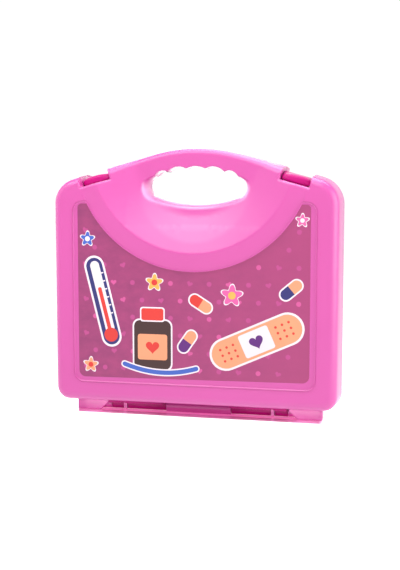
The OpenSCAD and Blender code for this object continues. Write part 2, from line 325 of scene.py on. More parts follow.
def shell_outside(front):
    """Vertices (x, depth, z) and faces (triangles and rim skirts) of the outside of a shell."""
    border = cut_notches(OUT, front)
    pts, segs = [], []

    def closed(p):
        n = len(pts)
        pts.extend(map(tuple, p))
        segs.extend((n + i, n + (i + 1) % len(p)) for i in range(len(p)))
        return n, len(p)

    b0, bn = closed(border)
    HOLE = HOLES[front]
    h0, hn = closed(HOLE[::-1])
    cloud = []
    # rows along the outline: draft wall, fillet, then a few on the face
    nrm = normals(OUT)
    for a in list(np.radians([4.5, 14, 24, 34, 44, 54, 64, 74, 84, 90])) + ["f1", "f2", "f3"]:
        p = OUT + nrm * 3
        for _ in range(4):
            dm, r = face_depth(p, front), outer_fillet(p)
            sc = K * (dm - r) + r * math.sqrt(1 + K * K)
            s = sc + {"f1": 1.0, "f2": 2.4, "f3": 4.4}[a] if isinstance(a, str) else sc - r * np.cos(a)
            p = OUT + nrm * s[:, None]
        cloud.append(p)
    # rows round the finger opening
    hn_ = -normals(HOLE)
    for t in (0.02, 0.07, 0.15, 0.26, 0.4, 0.56, 0.75, 1.0, 1.25):
        cloud.append(HOLE + hn_ * (hole_fillet(HOLE)[0] * t)[:, None])
    # arcs of the shield and its band
    radii = [50, 53, 56, 59, 62, 66, 70, 74, 78, 82, 85.5, 88.5, 90.4, 91.3, 91.75, 92.0, 92.35, 93.0, 95, 98, 101, 104]
    if front:
        radii += [105.6, 106.3, 106.7, 107.05, 107.3, 107.55, 107.9, 109]
    else:
        radii += [107]
    for r in radii:
        n = int(2 * math.pi * r / 1.9)
        w = np.linspace(0, 2 * np.pi, n, endpoint=False) + r
        cloud.append(np.c_[r * np.cos(w), SHIELD_Z + r * np.sin(w)])
    if front:
        for e in (-1.3, -0.85, -0.5, -0.2, 0.1, 0.4, 0.8, 1.2):
            c = [(REC_X, REC_Z0, REC_R), (REC_X, REC_Z1, REC_R), (-REC_X, REC_Z1, REC_R), (-REC_X, REC_Z0, REC_R)]
            cloud.append(rounded(c, -e, 1.6))
    for s in (-1, 1):
        for e in (0.06, 0.22, 0.5, 0.9, 1.35, 1.85, 2.3, 2.7, 3.4):
            cloud.append(notch_loop(s, e, NOTCH_V[front]))
    g = 3.2
    xs, zs = np.meshgrid(np.arange(-HW, HW, g), np.arange(BASE_Z, 242, g))
    xs = xs + (np.arange(xs.shape[0]) % 2)[:, None] * g / 2
    cloud.append(np.c_[xs.ravel(), zs.ravel()])
    g = 2.0
    xs, zs = np.meshgrid(np.arange(-62, 62, g), np.arange(172, 241, g))
    cloud.append(np.c_[xs.ravel() + 0.37, zs.ravel() + 0.21])
    # keep points inside the border, off it, and off each other (earlier rows win)
    allp = np.vstack(cloud)
    lim = np.concatenate([np.full(len(c), m) for c, m in zip(cloud, [0.27] * (len(cloud) - 2) + [1.5, 1.1])])
    ok = inside(allp, border) & ~inside(allp, HOLE)
    ok[ok] &= (dist(allp[ok], border) > 0.2) & (dist(allp[ok], HOLE) > 0.04)
    allp, lim = allp[ok], lim[ok]
    grid, kept = {}, []
    for p, m in zip(allp.tolist(), lim.tolist()):
        cx, cz = int(p[0] // 1.6), int(p[1] // 1.6)
        near = False
        for i in (-1, 0, 1):
            for j in (-1, 0, 1):
                for q in grid.get((cx + i, cz + j), ()):
                    if (p[0] - q[0]) ** 2 + (p[1] - q[1]) ** 2 < m * m:
                        near = True
                        break
                if near:
                    break
            if near:
                break
        if not near:
            grid.setdefault((cx, cz), []).append(p)
            kept.append(p)
    pts.extend(map(tuple, kept))
    res = delaunay_2d_cdt([Vector(p) for p in pts], segs, [], 0, 1e-6)
    v2 = np.array([tuple(v) for v in res[0]])
    tri = np.array([f for f in res[2]])
    cen = v2[tri].mean(1)
    tri = tri[inside(cen, border) & ~inside(cen, HOLE)]
    d = depth(v2, front)
    # border vertices in order, for the skirts
    orig = res[3]
    back = {}
    for i, o in enumerate(orig):
        for k in o:
            back[k] = i
    loops = [[back[i] for i in range(b0, b0 + bn)], [back[i] for i in range(h0, h0 + hn)]]
    verts = [(x, dd, z) for (x, z), dd in zip(v2, d)]
    faces = [tuple(t) for t in tri]
    for k, loop in enumerate(loops):
        p = v2[loop]
        n_in = normals(p)
        prev = list(loop)
        for dep, ins in ((0.6, 0.0), (0.3, 0.08), (0.15, 0.3)):
            row = []
            for i, vi in enumerate(loop):
                x, z = p[i] + n_in[i] * ins
                top = verts[vi][1]
                if dep == 0.6 and top < 0.62:
                    row.append(vi)
                    continue
                verts.append((x, min(dep, top), z))
                row.append(len(verts) - 1)
            m = len(loop)
            for i in range(m):
                j = (i + 1) % m
                quad = [prev[i], row[i], row[j], prev[j]]
                uniq = []
                for q in quad:
                    if q not in uniq:
                        uniq.append(q)
                if len(uniq) > 2:
                    faces.append(tuple(uniq))
            prev = row
    return verts, faces


def mesh_object(name, verts, faces, body, mats, sharp=30, mat_index=None):
    """verts in millimetres, row frame."""
    me = bpy.data.meshes.new(name)
    me.from_pydata([(x / 1000, y / 1000, z / 1000) for x, y, z in verts], [], faces)
    for m in mats:
        me.materials.append(m)
    if mat_index is not None:
        me.polygons.foreach_set("material_index", mat_index)
    bm = bmesh.new()
    bm.from_mesh(me)
    bmesh.ops.remove_doubles(bm, verts=bm.verts, dist=1e-6)
    bm.to_mesh(me)
    bm.free()
    me.update()
    for p in me.polygons:
        p.use_smooth = True
    me.set_sharp_from_angle(angle=math.radians(sharp))
    o = bpy.data.objects.new(name, me)
    scene.collection.objects.link(o)
    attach(o, body)
    return o


# ---------------------------------------------------------------- inside of the shells, from the frame's own solids
def cad_inside(node, front):
    """Faces of the CAD shell that aren't on its outside, as (verts, faces) in millimetres."""
    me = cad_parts[node].data
    co = np.empty(len(me.vertices) * 3)
    me.vertices.foreach_get("co", co)
    co = co.reshape(-1, 3) * 1000
    polys = [tuple(p.vertices) for p in me.polygons]
    cen = np.array([co[list(p)].mean(0) for p in polys])
    nor = np.array([tuple(p.normal) for p in me.polygons])
    x, z = cen[:, 0], cen[:, 2]
    d = -cen[:, 1] if front else cen[:, 1]
    nd = -nor[:, 1] if front else nor[:, 1]
    q = np.c_[x, z]
    s = np.where(inside(q, OUT), 1, -1) * dist(q, OUT)
    r = np.hypot(x, z - CAD_SHIELD_Z)
    dish = 15.5 + np.clip(r - 56, 0, 36) * 15.5 / 36
    top = np.minimum(dish, 31.0)
    if front:
        top = np.where(inside(q, REC) & (r > BAND_R), 30.2, top)
    top = np.minimum(top, edge_depth(np.maximum(s, 0), top, 7.5, DRAFT / 23.5))
    wall = (s > -0.4) & (s < 0.0809 * d + 1.0) & (np.abs(nd) < 0.8)
    face = (d > top - 1.15) & (nd > 0.02) & (s > -0.4)
    hole = (dist(q, HOLES[front]) < 0.9) & (np.abs(nd) < 0.3) & (np.abs(x) < 50) & (z > 185) & (z < 230)
    hdir = q - np.array([0, 206.5])
    hole &= (nor[:, 0] * hdir[:, 0] + nor[:, 2] * hdir[:, 1]) < 0
    drop = wall | face | hole
    for sd in (-1, 1):
        l = lat(q, sd)
        drop |= (np.abs(l[:, 0]) < LW + LG + 0.1) & (l[:, 1] > NOTCH_V[front] - 0.1) & (np.abs(nd) < 0.5)
    if front:
        drop |= (z < BASE_Z - 0.02) & (np.abs(x) > 83.4)       # feet are rebuilt with rounded edges
    keep = [p for p, k in zip(polys, drop) if not k]
    return [tuple(v) for v in co], keep


# ---------------------------------------------------------------- materials
def new_material(name):
    m = bpy.data.materials.new(name)
    m.use_nodes = True
    nt = m.node_tree
    bsdf = nt.nodes["Principled BSDF"]
    return m, nt, bsdf


def srgb(r, g, b):
    f = lambda c: ((c / 255 + 0.055) / 1.055) ** 2.4 if c > 10.3 else c / 255 / 12.92
    return (f(r), f(g), f(b), 1)


def plastic(name, colour, dark, rough=0.3, bump=0.0004, sss=0.0, coat=0.0, scale=1.0):
    """Moulded plastic: flow-mark colour drift, fine orange-peel bump and rubbed patches in the gloss."""
    m, nt, b = new_material(name)
    n, l = nt.nodes, nt.links
    tc = n.new("ShaderNodeTexCoord")
    big = n.new("ShaderNodeTexNoise")
    big.inputs["Scale"].default_value = 9 * scale
    big.inputs["Detail"].default_value = 3
    l.new(tc.outputs["Object"], big.inputs["Vector"])
    ramp = n.new("ShaderNodeValToRGB")
    ramp.color_ramp.elements[0].position, ramp.color_ramp.elements[1].position = 0.3, 0.7
    ramp.color_ramp.elements[0].color, ramp.color_ramp.elements[1].color = dark, colour
    l.new(big.outputs["Fac"], ramp.inputs["Fac"])
    l.new(ramp.outputs["Color"], b.inputs["Base Color"])
    fine = n.new("ShaderNodeTexNoise")
    fine.inputs["Scale"].default_value = 70 * scale
    fine.inputs["Detail"].default_value = 4
    l.new(tc.outputs["Object"], fine.inputs["Vector"])
    rr = n.new("ShaderNodeMapRange")
    rr.inputs["From Min"].default_value, rr.inputs["From Max"].default_value = 0.3, 0.75
    rr.inputs["To Min"].default_value, rr.inputs["To Max"].default_value = rough - 0.02, rough + 0.03
    l.new(fine.outputs["Fac"], rr.inputs["Value"])
    l.new(rr.outputs["Result"], b.inputs["Roughness"])
    peel = n.new("ShaderNodeTexNoise")
    peel.inputs["Scale"].default_value = 600 * scale
    peel.inputs["Detail"].default_value = 2
    l.new(tc.outputs["Object"], peel.inputs["Vector"])
    bp = n.new("ShaderNodeBump")
    bp.inputs["Strength"].default_value = 0.12
    bp.inputs["Distance"].default_value = bump
    l.new(peel.outputs["Fac"], bp.inputs["Height"])
    l.new(bp.outputs["Normal"], b.inputs["Normal"])
    b.inputs["IOR"].default_value = 1.49
    if sss:
        b.inputs["Subsurface Weight"].default_value = sss
        b.inputs["Subsurface Radius"].default_value = (1.0, 0.45, 0.7)
        b.inputs["Subsurface Scale"].default_value = 0.004
    if coat:
        b.inputs["Coat Weight"].default_value = coat
        b.inputs["Coat Roughness"].default_value = 0.27
    return m


PINK = plastic("case_plastic", srgb(187, 67, 145), srgb(183, 64, 141), rough=0.36, bump=0.00004, sss=0.1, coat=0.5)


def thin_lips(mat):
    """Light comes through the thin lips of the finger opening, so they look paler."""
    n, l = mat.node_tree.nodes, mat.node_tree.links
    b = n["Principled BSDF"]
    tc = n.new("ShaderNodeTexCoord")
    steps = []
    for op in ("SUBTRACT", "MULTIPLY", "NORMALIZE", "DOT_PRODUCT"):
        v = n.new("ShaderNodeVectorMath")
        v.operation = op
        steps.append(v)
    steps[0].inputs[0].default_value = (0, 0, 0.2075)
    l.new(tc.outputs["Object"], steps[0].inputs[1])
    steps[1].inputs[1].default_value = (1, 0, 1)
    l.new(steps[0].outputs["Vector"], steps[1].inputs[0])
    l.new(steps[1].outputs["Vector"], steps[2].inputs[0])
    l.new(steps[2].outputs["Vector"], steps[3].inputs[0])
    l.new(tc.outputs["Normal"], steps[3].inputs[1])
    size = n.new("ShaderNodeVectorMath")
    size.operation = "LENGTH"
    l.new(steps[1].outputs["Vector"], size.inputs[0])
    sep = n.new("ShaderNodeSeparateXYZ")
    l.new(tc.outputs["Object"], sep.inputs["Vector"])
    out = None
    for src, a, c, lo, hi in ((steps[3].outputs["Value"], 0.3, 0.75, 0.0, 0.9),
                              (size.outputs["Value"], 0.047, 0.053, 1.0, 0.0),
                              (sep.outputs["Z"], 0.203, 0.213, 1.0, 0.0)):
        mr = n.new("ShaderNodeMapRange")
        mr.interpolation_type = "SMOOTHSTEP"
        mr.inputs["From Min"].default_value, mr.inputs["From Max"].default_value = a, c
        mr.inputs["To Min"].default_value, mr.inputs["To Max"].default_value = lo, hi
        l.new(src, mr.inputs["Value"])
        if out is None:
            out = mr.outputs["Result"]
        else:
            mu = n.new("ShaderNodeMath")
            mu.operation = "MULTIPLY"
            l.new(out, mu.inputs[0])
            l.new(mr.outputs["Result"], mu.inputs[1])
            out = mu.outputs[0]
    mx = n.new("ShaderNodeMix")
    mx.data_type = "RGBA"
    l.new(out, mx.inputs["Factor"])
    l.new(b.inputs["Base Color"].links[0].from_socket, mx.inputs[6])
    mx.inputs[7].default_value = srgb(232, 158, 202)
    l.new(mx.outputs[2], b.inputs["Base Color"])


thin_lips(PINK)
MAGENTA = plastic("latch_plastic", srgb(176, 1, 112), srgb(167, 1, 104), rough=0.3, bump=0.00003)
MAGENTA.node_tree.nodes["Principled BSDF"].inputs["Specular IOR Level"].default_value = 0.2
# painted shade: the hinge clips use the latches' magenta darkened to stand for the shade under the case
HINGE_MAGENTA_PAINTED_SHADE = plastic("hinge_plastic_painted_shade", srgb(146, 1, 92), srgb(138, 1, 86), rough=0.32, bump=0.00003)
HINGE_MAGENTA_PAINTED_SHADE.node_tree.nodes["Principled BSDF"].inputs["Specular IOR Level"].default_value = 0.2
TRAY = plastic("tray_sheet", srgb(200, 150, 186), srgb(192, 141, 178), rough=0.25, bump=0.00003, coat=0.5)


# ---------------------------------------------------------------- shells
def flip(verts, faces, front):
    if front:
        return [(x, -d, z) for x, d, z in verts], [tuple(reversed(f)) if False else f for f in faces]
    return [(x, d, z) for x, d, z in verts], [tuple(reversed(f)) for f in faces]


def make_shell(name, node, front, body):
    v, f = shell_outside(front)
    v, f = flip(v, f, front)
    iv, if_ = cad_inside(node, front)
    n = len(v)
    v = v + iv
    f = f + [tuple(i + n for i in p) for p in if_]
    o = mesh_object(name, v, f, body, [PINK])
    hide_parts(node)
    return o


front = make_shell("lid_shell", "front_shell", True, "lid")
rear = make_shell("rear_shell", "back_shell", False, "back")


# ---------------------------------------------------------------- small mouldings
def bevelled(o, width, segments=3, angle=35):
    m = o.modifiers.new("edge", "BEVEL")
    m.width, m.segments, m.limit_method, m.angle_limit = width / 1000, segments, "ANGLE", math.radians(angle)
    m.harden_normals = True
    return o


def extrude(profile, stations, place, shape=None):
    """Closed prism: profile points (a, b) repeated at each station, put in the row frame by place(station, a, b)."""
    n = len(profile)
    verts, faces = [], []
    for t in stations:
        for a, b in profile:
            if shape:
                a, b = shape(t, a, b)
            verts.append(place(t, a, b))
    for k in range(len(stations) - 1):
        for i in range(n):
            j = (i + 1) % n
            faces.append((k * n + i, k * n + j, (k + 1) * n + j, (k + 1) * n + i))
    faces.append(tuple(reversed(range(n))))
    faces.append(tuple((len(stations) - 1) * n + i for i in range(n)))
    return verts, faces


def fixed_normals(o):
    bm = bmesh.new()
    bm.from_mesh(o.data)
    bmesh.ops.recalc_face_normals(bm, faces=bm.faces)
    bm.to_mesh(o.data)
    bm.free()
    return o


def arc(cx, cy, r, a0, a1, n):
    return [(cx + r * math.cos(math.radians(a0 + (a1 - a0) * i / n)), cy + r * math.sin(math.radians(a0 + (a1 - a0) * i / n))) for i in range(n + 1)]


def make_latch(name, s):
    # profile in (depth, v): crowned plate, rounded nose, hub round the pins
    prof = arc(17.6, -4.2, 3.4, 0, 90, 8)                         # front top corner, from the nose up
    prof += [(12, -0.72), (6, -0.62), (0, -0.6), (-6, -0.68)]
    prof += arc(-12.0, -3.8, 3.0, 90, 180, 6) + arc(-12.0, -5.2, 3.0, 180, 330, 9)
    prof += [(-8.4, -3.5), (0, -3.3), (10, -3.3), (17.4, -3.5), (18.9, -4.6), (18.9, -7.2)]
    prof += [(19.1, -7.65), (19.6, -7.8), (20.7, -7.8), (21.3, -7.5), (21.5, -7.0), (21.45, -5.6)]
    us = np.r_[np.linspace(-LW, -LW + 5, 12), np.linspace(-LW + 6, LW - 6, 9), np.linspace(LW - 5, LW, 12)]

    def shape(u, d, v):
        out = s * u                                                # > 0 towards the side of the case
        e = min(1.0, max(0.0, (out - (LW - 3.2)) / 3.2))
        i = min(1.0, max(0.0, (-out - (LW - 2.2)) / 2.2))
        top = 1.5 * ((out - 2) / 13) ** 2 + 2.6 * (1 - math.sqrt(1 - e * e)) + 1.8 * (1 - math.sqrt(1 - i * i))
        low = 1.3 * max(0.0, (abs(u) - (LW - 1.6)) / 1.6) ** 2
        w = smooth((d - 4) / 14)
        if v > -4.5:
            v -= float(top * w) * (v + 7.8) / 7.2
        elif v < -6.6 and d > 15:
            v += low
        d2 = d - (0.9 * (abs(u) / LW) ** 2 + 0.8 * (max(0.0, abs(u) - (LW - 1.3)) / 1.3) ** 2 if d > 15 else 0)
        return d2, v

    def place(u, d, v):
        x, z = unlat((u, v), s)[0]
        return (x, -d, z)

    v, f = extrude(prof, us, place, shape)
    o = fixed_normals(mesh_object(name + "_clip", v, f, "latch_l" if s < 0 else "latch_r", [MAGENTA], 40))
    # stub pins
    pv, pf = [], []
    for a, b in ((LW - 1.2, LW + 1.9), (-LW - 1.9, -LW + 1.2)):
        ring_ = arc(-12.0, -5.2, 1.5, 0, 345, 23)
        ends = [(a, 1.0), (b - 0.3, 1.0), (b, 0.8)] if a > 0 else [(a, 0.8), (a + 0.3, 1.0), (b, 1.0)]
        n0 = len(pv)
        for t, k in ends:
            pv += [place(t, -12.0 + (d + 12.0) * k, -5.2 + (vv + 5.2) * k) for d, vv in ring_]
        for k in range(2):
            pf += [(n0 + k * 24 + i, n0 + k * 24 + (i + 1) % 24, n0 + (k + 1) * 24 + (i + 1) % 24, n0 + (k + 1) * 24 + i) for i in range(24)]
        pf += [tuple(n0 + i for i in range(24)), tuple(n0 + 48 + i for i in reversed(range(24)))]
    p = fixed_normals(mesh_object(name + "_pins", pv, pf, "latch_l" if s < 0 else "latch_r", [MAGENTA], 40))
    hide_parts(name)
    return o, p


latch_l = make_latch("latch_left", -1)
latch_r = make_latch("latch_right", 1)


def make_hinge(name, s):
    lip = math.degrees(math.asin(1.7 / 4.1))
    lin = math.degrees(math.asin(1.7 / 2.28))
    top = BASE_Z - AXIS_Z - 0.05
    sec = arc(0, 0, 4.1, lip, 101.3, 10) + [(-0.8, top), (-15.4, top), (-15.4, 4.1)]
    sec += [(-4.6, 4.0), (-4.15, 3.4)] + arc(0, 0, 4.1, 180, 360 - lip, 22)
    sec += arc(0, 0, 2.28, 360 - lin, lin, 24)
    objs = []
    for k, (x0, x1) in enumerate(((30.6, 67.2), (70.8, 82.4))):
        v, f = extrude(sec, [s * x0, s * x1], lambda t, y, z: (t, y, AXIS_Z + z))
        o = fixed_normals(mesh_object(f"{name}_barrel_{k}", v, f, "lid", [HINGE_MAGENTA_PAINTED_SHADE], 35))
        objs.append(bevelled(o, 0.35, 2))
    # web of the leaf behind the lid's knuckle
    v, f = extrude([(-6.1, top), (-15.4, top), (-15.4, 4.95), (-6.1, 4.95)], [s * 67.0, s * 71.0], lambda t, y, z: (t, y, AXIS_Z + z))
    objs.append(fixed_normals(mesh_object(f"{name}_leaf", v, f, "lid", [HINGE_MAGENTA_PAINTED_SHADE], 35)))
    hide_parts(name)
    return objs


make_hinge("hinge_left", -1)
make_hinge("hinge_right", 1)

for s, side in ((-1, "left"), (1, "right")):
    prof = [(s * 84.1, 12.6), (s * 84.1, 7.6), (s * 91.6, 0.0), (s * 113.9, 0.0), (s * 113.9, 12.6)]
    v, f = extrude(prof, [-9.5, -4.7], lambda t, x, z: (x, t, z))
    foot = fixed_normals(mesh_object(f"lid_foot_{side}", v, f, "lid", [PINK], 35))
    bevelled(foot, 0.7, 3)

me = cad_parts["inner_tray"].data
me.materials.clear()
me.materials.append(TRAY)


# ---------------------------------------------------------------- printed panel
def panel_outline():
    n = 400
    w = np.linspace(0, 2 * np.pi, n, endpoint=False)
    x0, x1, zl, zr, zt = -105.0, 104.2, 34.7, 37.2, 191.3
    base = rounded([(x1, zr, 6), (x1, zt, 3.6), (x0, zt, 3.6), (x0, zl, 6)], 0, 1.2)
    r = BAND_R + 0.75
    c = np.array([0, SHIELD_Z])
    keep = np.hypot(*(base - c).T) > r
    # the part of the rounded rectangle outside the arc, closed along the arc
    idx = np.where(~keep)[0]
    a, b = idx[0], idx[-1]
    head, tail = base[:a], base[b + 1:]
    pa = c + r * unit(head[-1] - c)
    pb = c + r * unit(tail[0] - c)
    ta, tb = math.atan2(*(pa - c)[::-1]), math.atan2(*(pb - c)[::-1])
    arc_pts = [c + r * np.array([math.cos(t), math.sin(t)]) for t in np.linspace(ta, tb, 130)]
    return np.vstack([head, arc_pts, tail])


def flat_piece(outline, d0, d1):
    """Thin plate with that outline, from depth d0 up to d1, with a softened rim."""
    n = len(outline)
    nn = normals(outline)
    v = [(x, -d0, z) for x, z in outline] + [(x, -(d1 - 0.05), z) for x, z in outline]
    v += [(x, -d1, z) for x, z in outline + nn * 0.12]
    f = []
    for k in range(2):
        f += [(k * n + i, k * n + (i + 1) % n, (k + 1) * n + (i + 1) % n, (k + 1) * n + i) for i in range(n)]
    f.append(tuple(2 * n + i for i in range(n)))
    return v, f


def turn(p, a, cx, cz):
    a = math.radians(a)
    c, s_ = math.cos(a), math.sin(a)
    return [(cx + x * c - z * s_, cz + x * s_ + z * c) for x, z in p]


def heart(cx, cz, size, a=0):
    t = np.linspace(0, 2 * np.pi, 90, endpoint=False)
    x = 16 * np.sin(t) ** 3
    z = 13 * np.cos(t) - 5 * np.cos(2 * t) - 2 * np.cos(3 * t) - np.cos(4 * t)
    return turn([(-i * size / 16, j * size / 16) for i, j in zip(x, z)], a, cx, cz)


def pill(cx, cz, hx, hz, a=0, n=14):
    r = min(hx, hz)
    p = arc(hx - r, 0, r, -90, 90, n) if hz == r else None
    if p is None:
        p = arc(0, hz - r, r, 0, 180, n) + arc(0, -hz + r, r, 180, 360, n)
    else:
        p += arc(-hx + r, 0, r, 90, 270, n)
    return turn(p, a, cx, cz)


def box2(cx, cz, hx, hz, r, a=0):
    p = arc(hx - r, -hz + r, r, -90, 0, 5) + arc(hx - r, hz - r, r, 0, 90, 5) + arc(-hx + r, hz - r, r, 90, 180, 5) + arc(-hx + r, -hz + r, r, 180, 270, 5)
    return turn(p, a, cx, cz)


def disc(cx, cz, r, n=40):
    return arc(cx, cz, r, 0, 360 - 360 / n, n - 1)


def flower(cx, cz, r, k, a=0):
    t = np.linspace(0, 2 * np.pi, 80, endpoint=False)
    rr = r * (0.78 + 0.22 * np.cos(k * t))
    return turn([(q * math.cos(u), q * math.sin(u)) for q, u in zip(rr, t)], a, cx, cz)


def band(pts, w):
    """Thick line with round ends along points."""
    p = np.array(pts, float)
    t = np.gradient(p, axis=0)
    t /= np.linalg.norm(t, axis=1)[:, None]
    n = np.c_[-t[:, 1], t[:, 0]]
    left, right = p + n * w, p - n * w
    a1 = math.degrees(math.atan2(t[-1, 1], t[-1, 0]))
    a0 = math.degrees(math.atan2(t[0, 1], t[0, 0]))
    return [tuple(q) for q in right] + arc(p[-1][0], p[-1][1], w, a1 - 90, a1 + 90, 8)[1:-1] + [tuple(q) for q in left[::-1]] + arc(p[0][0], p[0][1], w, a0 + 90, a0 + 270, 8)[1:-1]


def wave(x0, x1, z, amp, n=90):
    x = np.linspace(x0, x1, n)
    return [(a, z + amp * math.sin((a - x0) / (x1 - x0) * 3 * math.pi) + (a - x0) * 0.06) for a in x]


def print_material(name, colour, vary=0.12, rough=0.34):
    """Ink on film: slightly mottled, satin."""
    c = srgb(*colour)
    d = tuple(v * (1 - vary) for v in c[:3]) + (1,)
    return plastic(name, c, d, rough=rough, bump=0.0001, scale=2.2)


INKS = {"white": (214, 202, 210), "orange": (196, 46, 40), "peach": (214, 140, 104), "plum": (84, 20, 108), "navy": (36, 34, 98),
        "brown": (56, 28, 28), "rose": (206, 84, 146), "blue": (56, 86, 170), "yellow": (220, 158, 74), "tone": (166, 60, 120), "tone2": (188, 74, 134)}
MATS = {k: print_material("ink_" + k, v, 0.1 if k != "tone" else 0.05) for k, v in INKS.items()}

art = []          # (ink, level, outline)


def put(ink, level, shape):
    art.append((ink, level, shape))


# tone-on-tone ground: soft dots and small hearts in rows
for i in range(12):
    for j in range(9):
        x, z = -98 + i * 17.5 + (8.7 if j % 2 else 0), 44 + j * 15.5
        if x > 98 or math.hypot(x, z - SHIELD_Z) < BAND_R + 9 or z > 184 or (x > 92 and z < 46):
            continue
        put("tone" if (i + j) % 3 else "tone2", 0, disc(x, z, 2.2, 18) if (i + j) % 2 else heart(x, z, 2.6, 12 * ((i * 7 + j * 5) % 5 - 2)))
# large sticking plaster, lower right
put("white", 1, pill(58, 72, 44.5, 14.6, 24))
put("peach", 2, pill(58, 72, 42.5, 12.8, 24))
put("white", 3, box2(58, 72, 14.0, 10.6, 2.0, 24))
for k in (-1, 1):
    for i in range(3):
        for j in (-1, 0, 1):
            px, pz = k * (20.5 + i * 6.2), j * 5.4
            q = turn([(px, pz)], 24, 58, 72)[0]
            put("orange", 3, disc(q[0], q[1], 1.15, 14))
put("plum", 4, heart(58, 72, 6.4, 24))
# thermometer, left
put("white", 1, pill(-82, 104, 9.4, 42, 14, 18))
put("navy", 2, pill(-82, 104, 7.6, 40, 14, 18))
put("white", 3, pill(-82.5, 108, 4.2, 33, 14, 14))
q = turn([(0, -31)], 14, -82, 104)[0]
put("orange", 4, disc(q[0], q[1], 6.4))
put("orange", 4, box2(*turn([(0, -9)], 14, -82, 104)[0], 1.8, 22, 1.7, 14))
for i in range(6):
    q = turn([(5.3, -12 + i * 7.4)], 14, -82, 104)[0]
    put("white", 4, box2(q[0], q[1], 1.6, 0.55, 0.5, 14))
# medicine bottle with spoon, lower middle left
put("white", 1, box2(-36, 66, 18.4, 23.4, 6.4))
put("brown", 2, box2(-36, 66, 17, 22, 5.4))
put("white", 1, box2(-36, 93.4, 11.4, 6.6, 2.6))
put("orange", 2, box2(-36, 93.4, 10.2, 5.4, 2.0))
put("peach", 3, box2(-36, 64, 13.6, 11.6, 2.2))
put("orange", 4, heart(-36, 64, 6.2))
sweep = [(x, 41.2 + 0.0052 * (x + 26) ** 2) for x in np.linspace(-62, 4, 60)]
put("white", 1, band(sweep, 3.2))
put("blue", 2, band(sweep, 2.0))
# capsule pills and blossoms
for x, z, a, c1 in ((8, 104, -32, "orange"), (88, 118, 40, "navy"), (-4, 70, 55, "plum")):
    put("white", 1, pill(x, z, 12.2, 6.0, a))
    put(c1, 2, pill(x, z, 10.8, 4.7, a))
    put("peach", 3, turn(arc(6.1, 0, 4.7, -90, 90, 12) + [(0, 4.7), (0, -4.7)], a, x, z))
for x, z, r, c1, c2 in ((36, 112, 9.5, "rose", "yellow"), (-34, 122, 7.5, "yellow", "orange"), (97, 178, 5.4, "rose", "white"), (-96, 160, 6.4, "blue", "white"), (-94, 46, 6.5, "peach", "orange")):
    put("white", 1, flower(x, z, r + 1.1, 5, 15))
    put(c1, 2, flower(x, z, r, 5, 15))
    put(c2, 3, disc(x, z, r * 0.36, 20))

def panel_film(name):
    """Printed film: tone-on-tone mottling, darker on the left and lighter towards the right, satin varnish."""
    m, nt, bs = new_material(name)
    n, l = nt.nodes, nt.links
    tc = n.new("ShaderNodeTexCoord")
    mp = n.new("ShaderNodeMapping")
    mp.inputs["Scale"].default_value = (60, 1, 95)
    l.new(tc.outputs["Object"], mp.inputs["Vector"])
    cells = n.new("ShaderNodeTexNoise")
    cells.inputs["Scale"].default_value = 1.0
    cells.inputs["Detail"].default_value = 4
    cells.inputs["Roughness"].default_value = 0.62
    l.new(mp.outputs["Vector"], cells.inputs["Vector"])
    r1 = n.new("ShaderNodeValToRGB")
    r1.color_ramp.elements[0].position, r1.color_ramp.elements[1].position = 0.34, 0.66
    r1.color_ramp.elements[0].color, r1.color_ramp.elements[1].color = srgb(126, 42, 91), srgb(143, 49, 99)
    l.new(cells.outputs["Fac"], r1.inputs["Fac"])
    sep_ = n.new("ShaderNodeSeparateXYZ")
    l.new(tc.outputs["Object"], sep_.inputs["Vector"])
    left_to_right_ramp = n.new("ShaderNodeMapRange")
    left_to_right_ramp.inputs["From Min"].default_value, left_to_right_ramp.inputs["From Max"].default_value = -0.105, 0.105
    left_to_right_ramp.inputs["To Min"].default_value, left_to_right_ramp.inputs["To Max"].default_value = 0.0, 0.8
    l.new(sep_.outputs["X"], left_to_right_ramp.inputs["Value"])
    mx = n.new("ShaderNodeMix")
    mx.data_type = "RGBA"
    mx.inputs["B"].default_value = srgb(150, 51, 101)
    l.new(left_to_right_ramp.outputs["Result"], mx.inputs["Factor"])
    l.new(r1.outputs["Color"], mx.inputs["A"])
    l.new(mx.outputs["Result"], bs.inputs["Base Color"])
    fine = n.new("ShaderNodeTexNoise")
    fine.inputs["Scale"].default_value = 420
    fine.inputs["Detail"].default_value = 2
    l.new(tc.outputs["Object"], fine.inputs["Vector"])
    bp = n.new("ShaderNodeBump")
    bp.inputs["Strength"].default_value = 0.15
    bp.inputs["Distance"].default_value = 0.00003
    l.new(fine.outputs["Fac"], bp.inputs["Height"])
    l.new(bp.outputs["Normal"], bs.inputs["Normal"])
    bs.inputs["Roughness"].default_value = 0.34
    bs.inputs["IOR"].default_value = 1.5
    return m


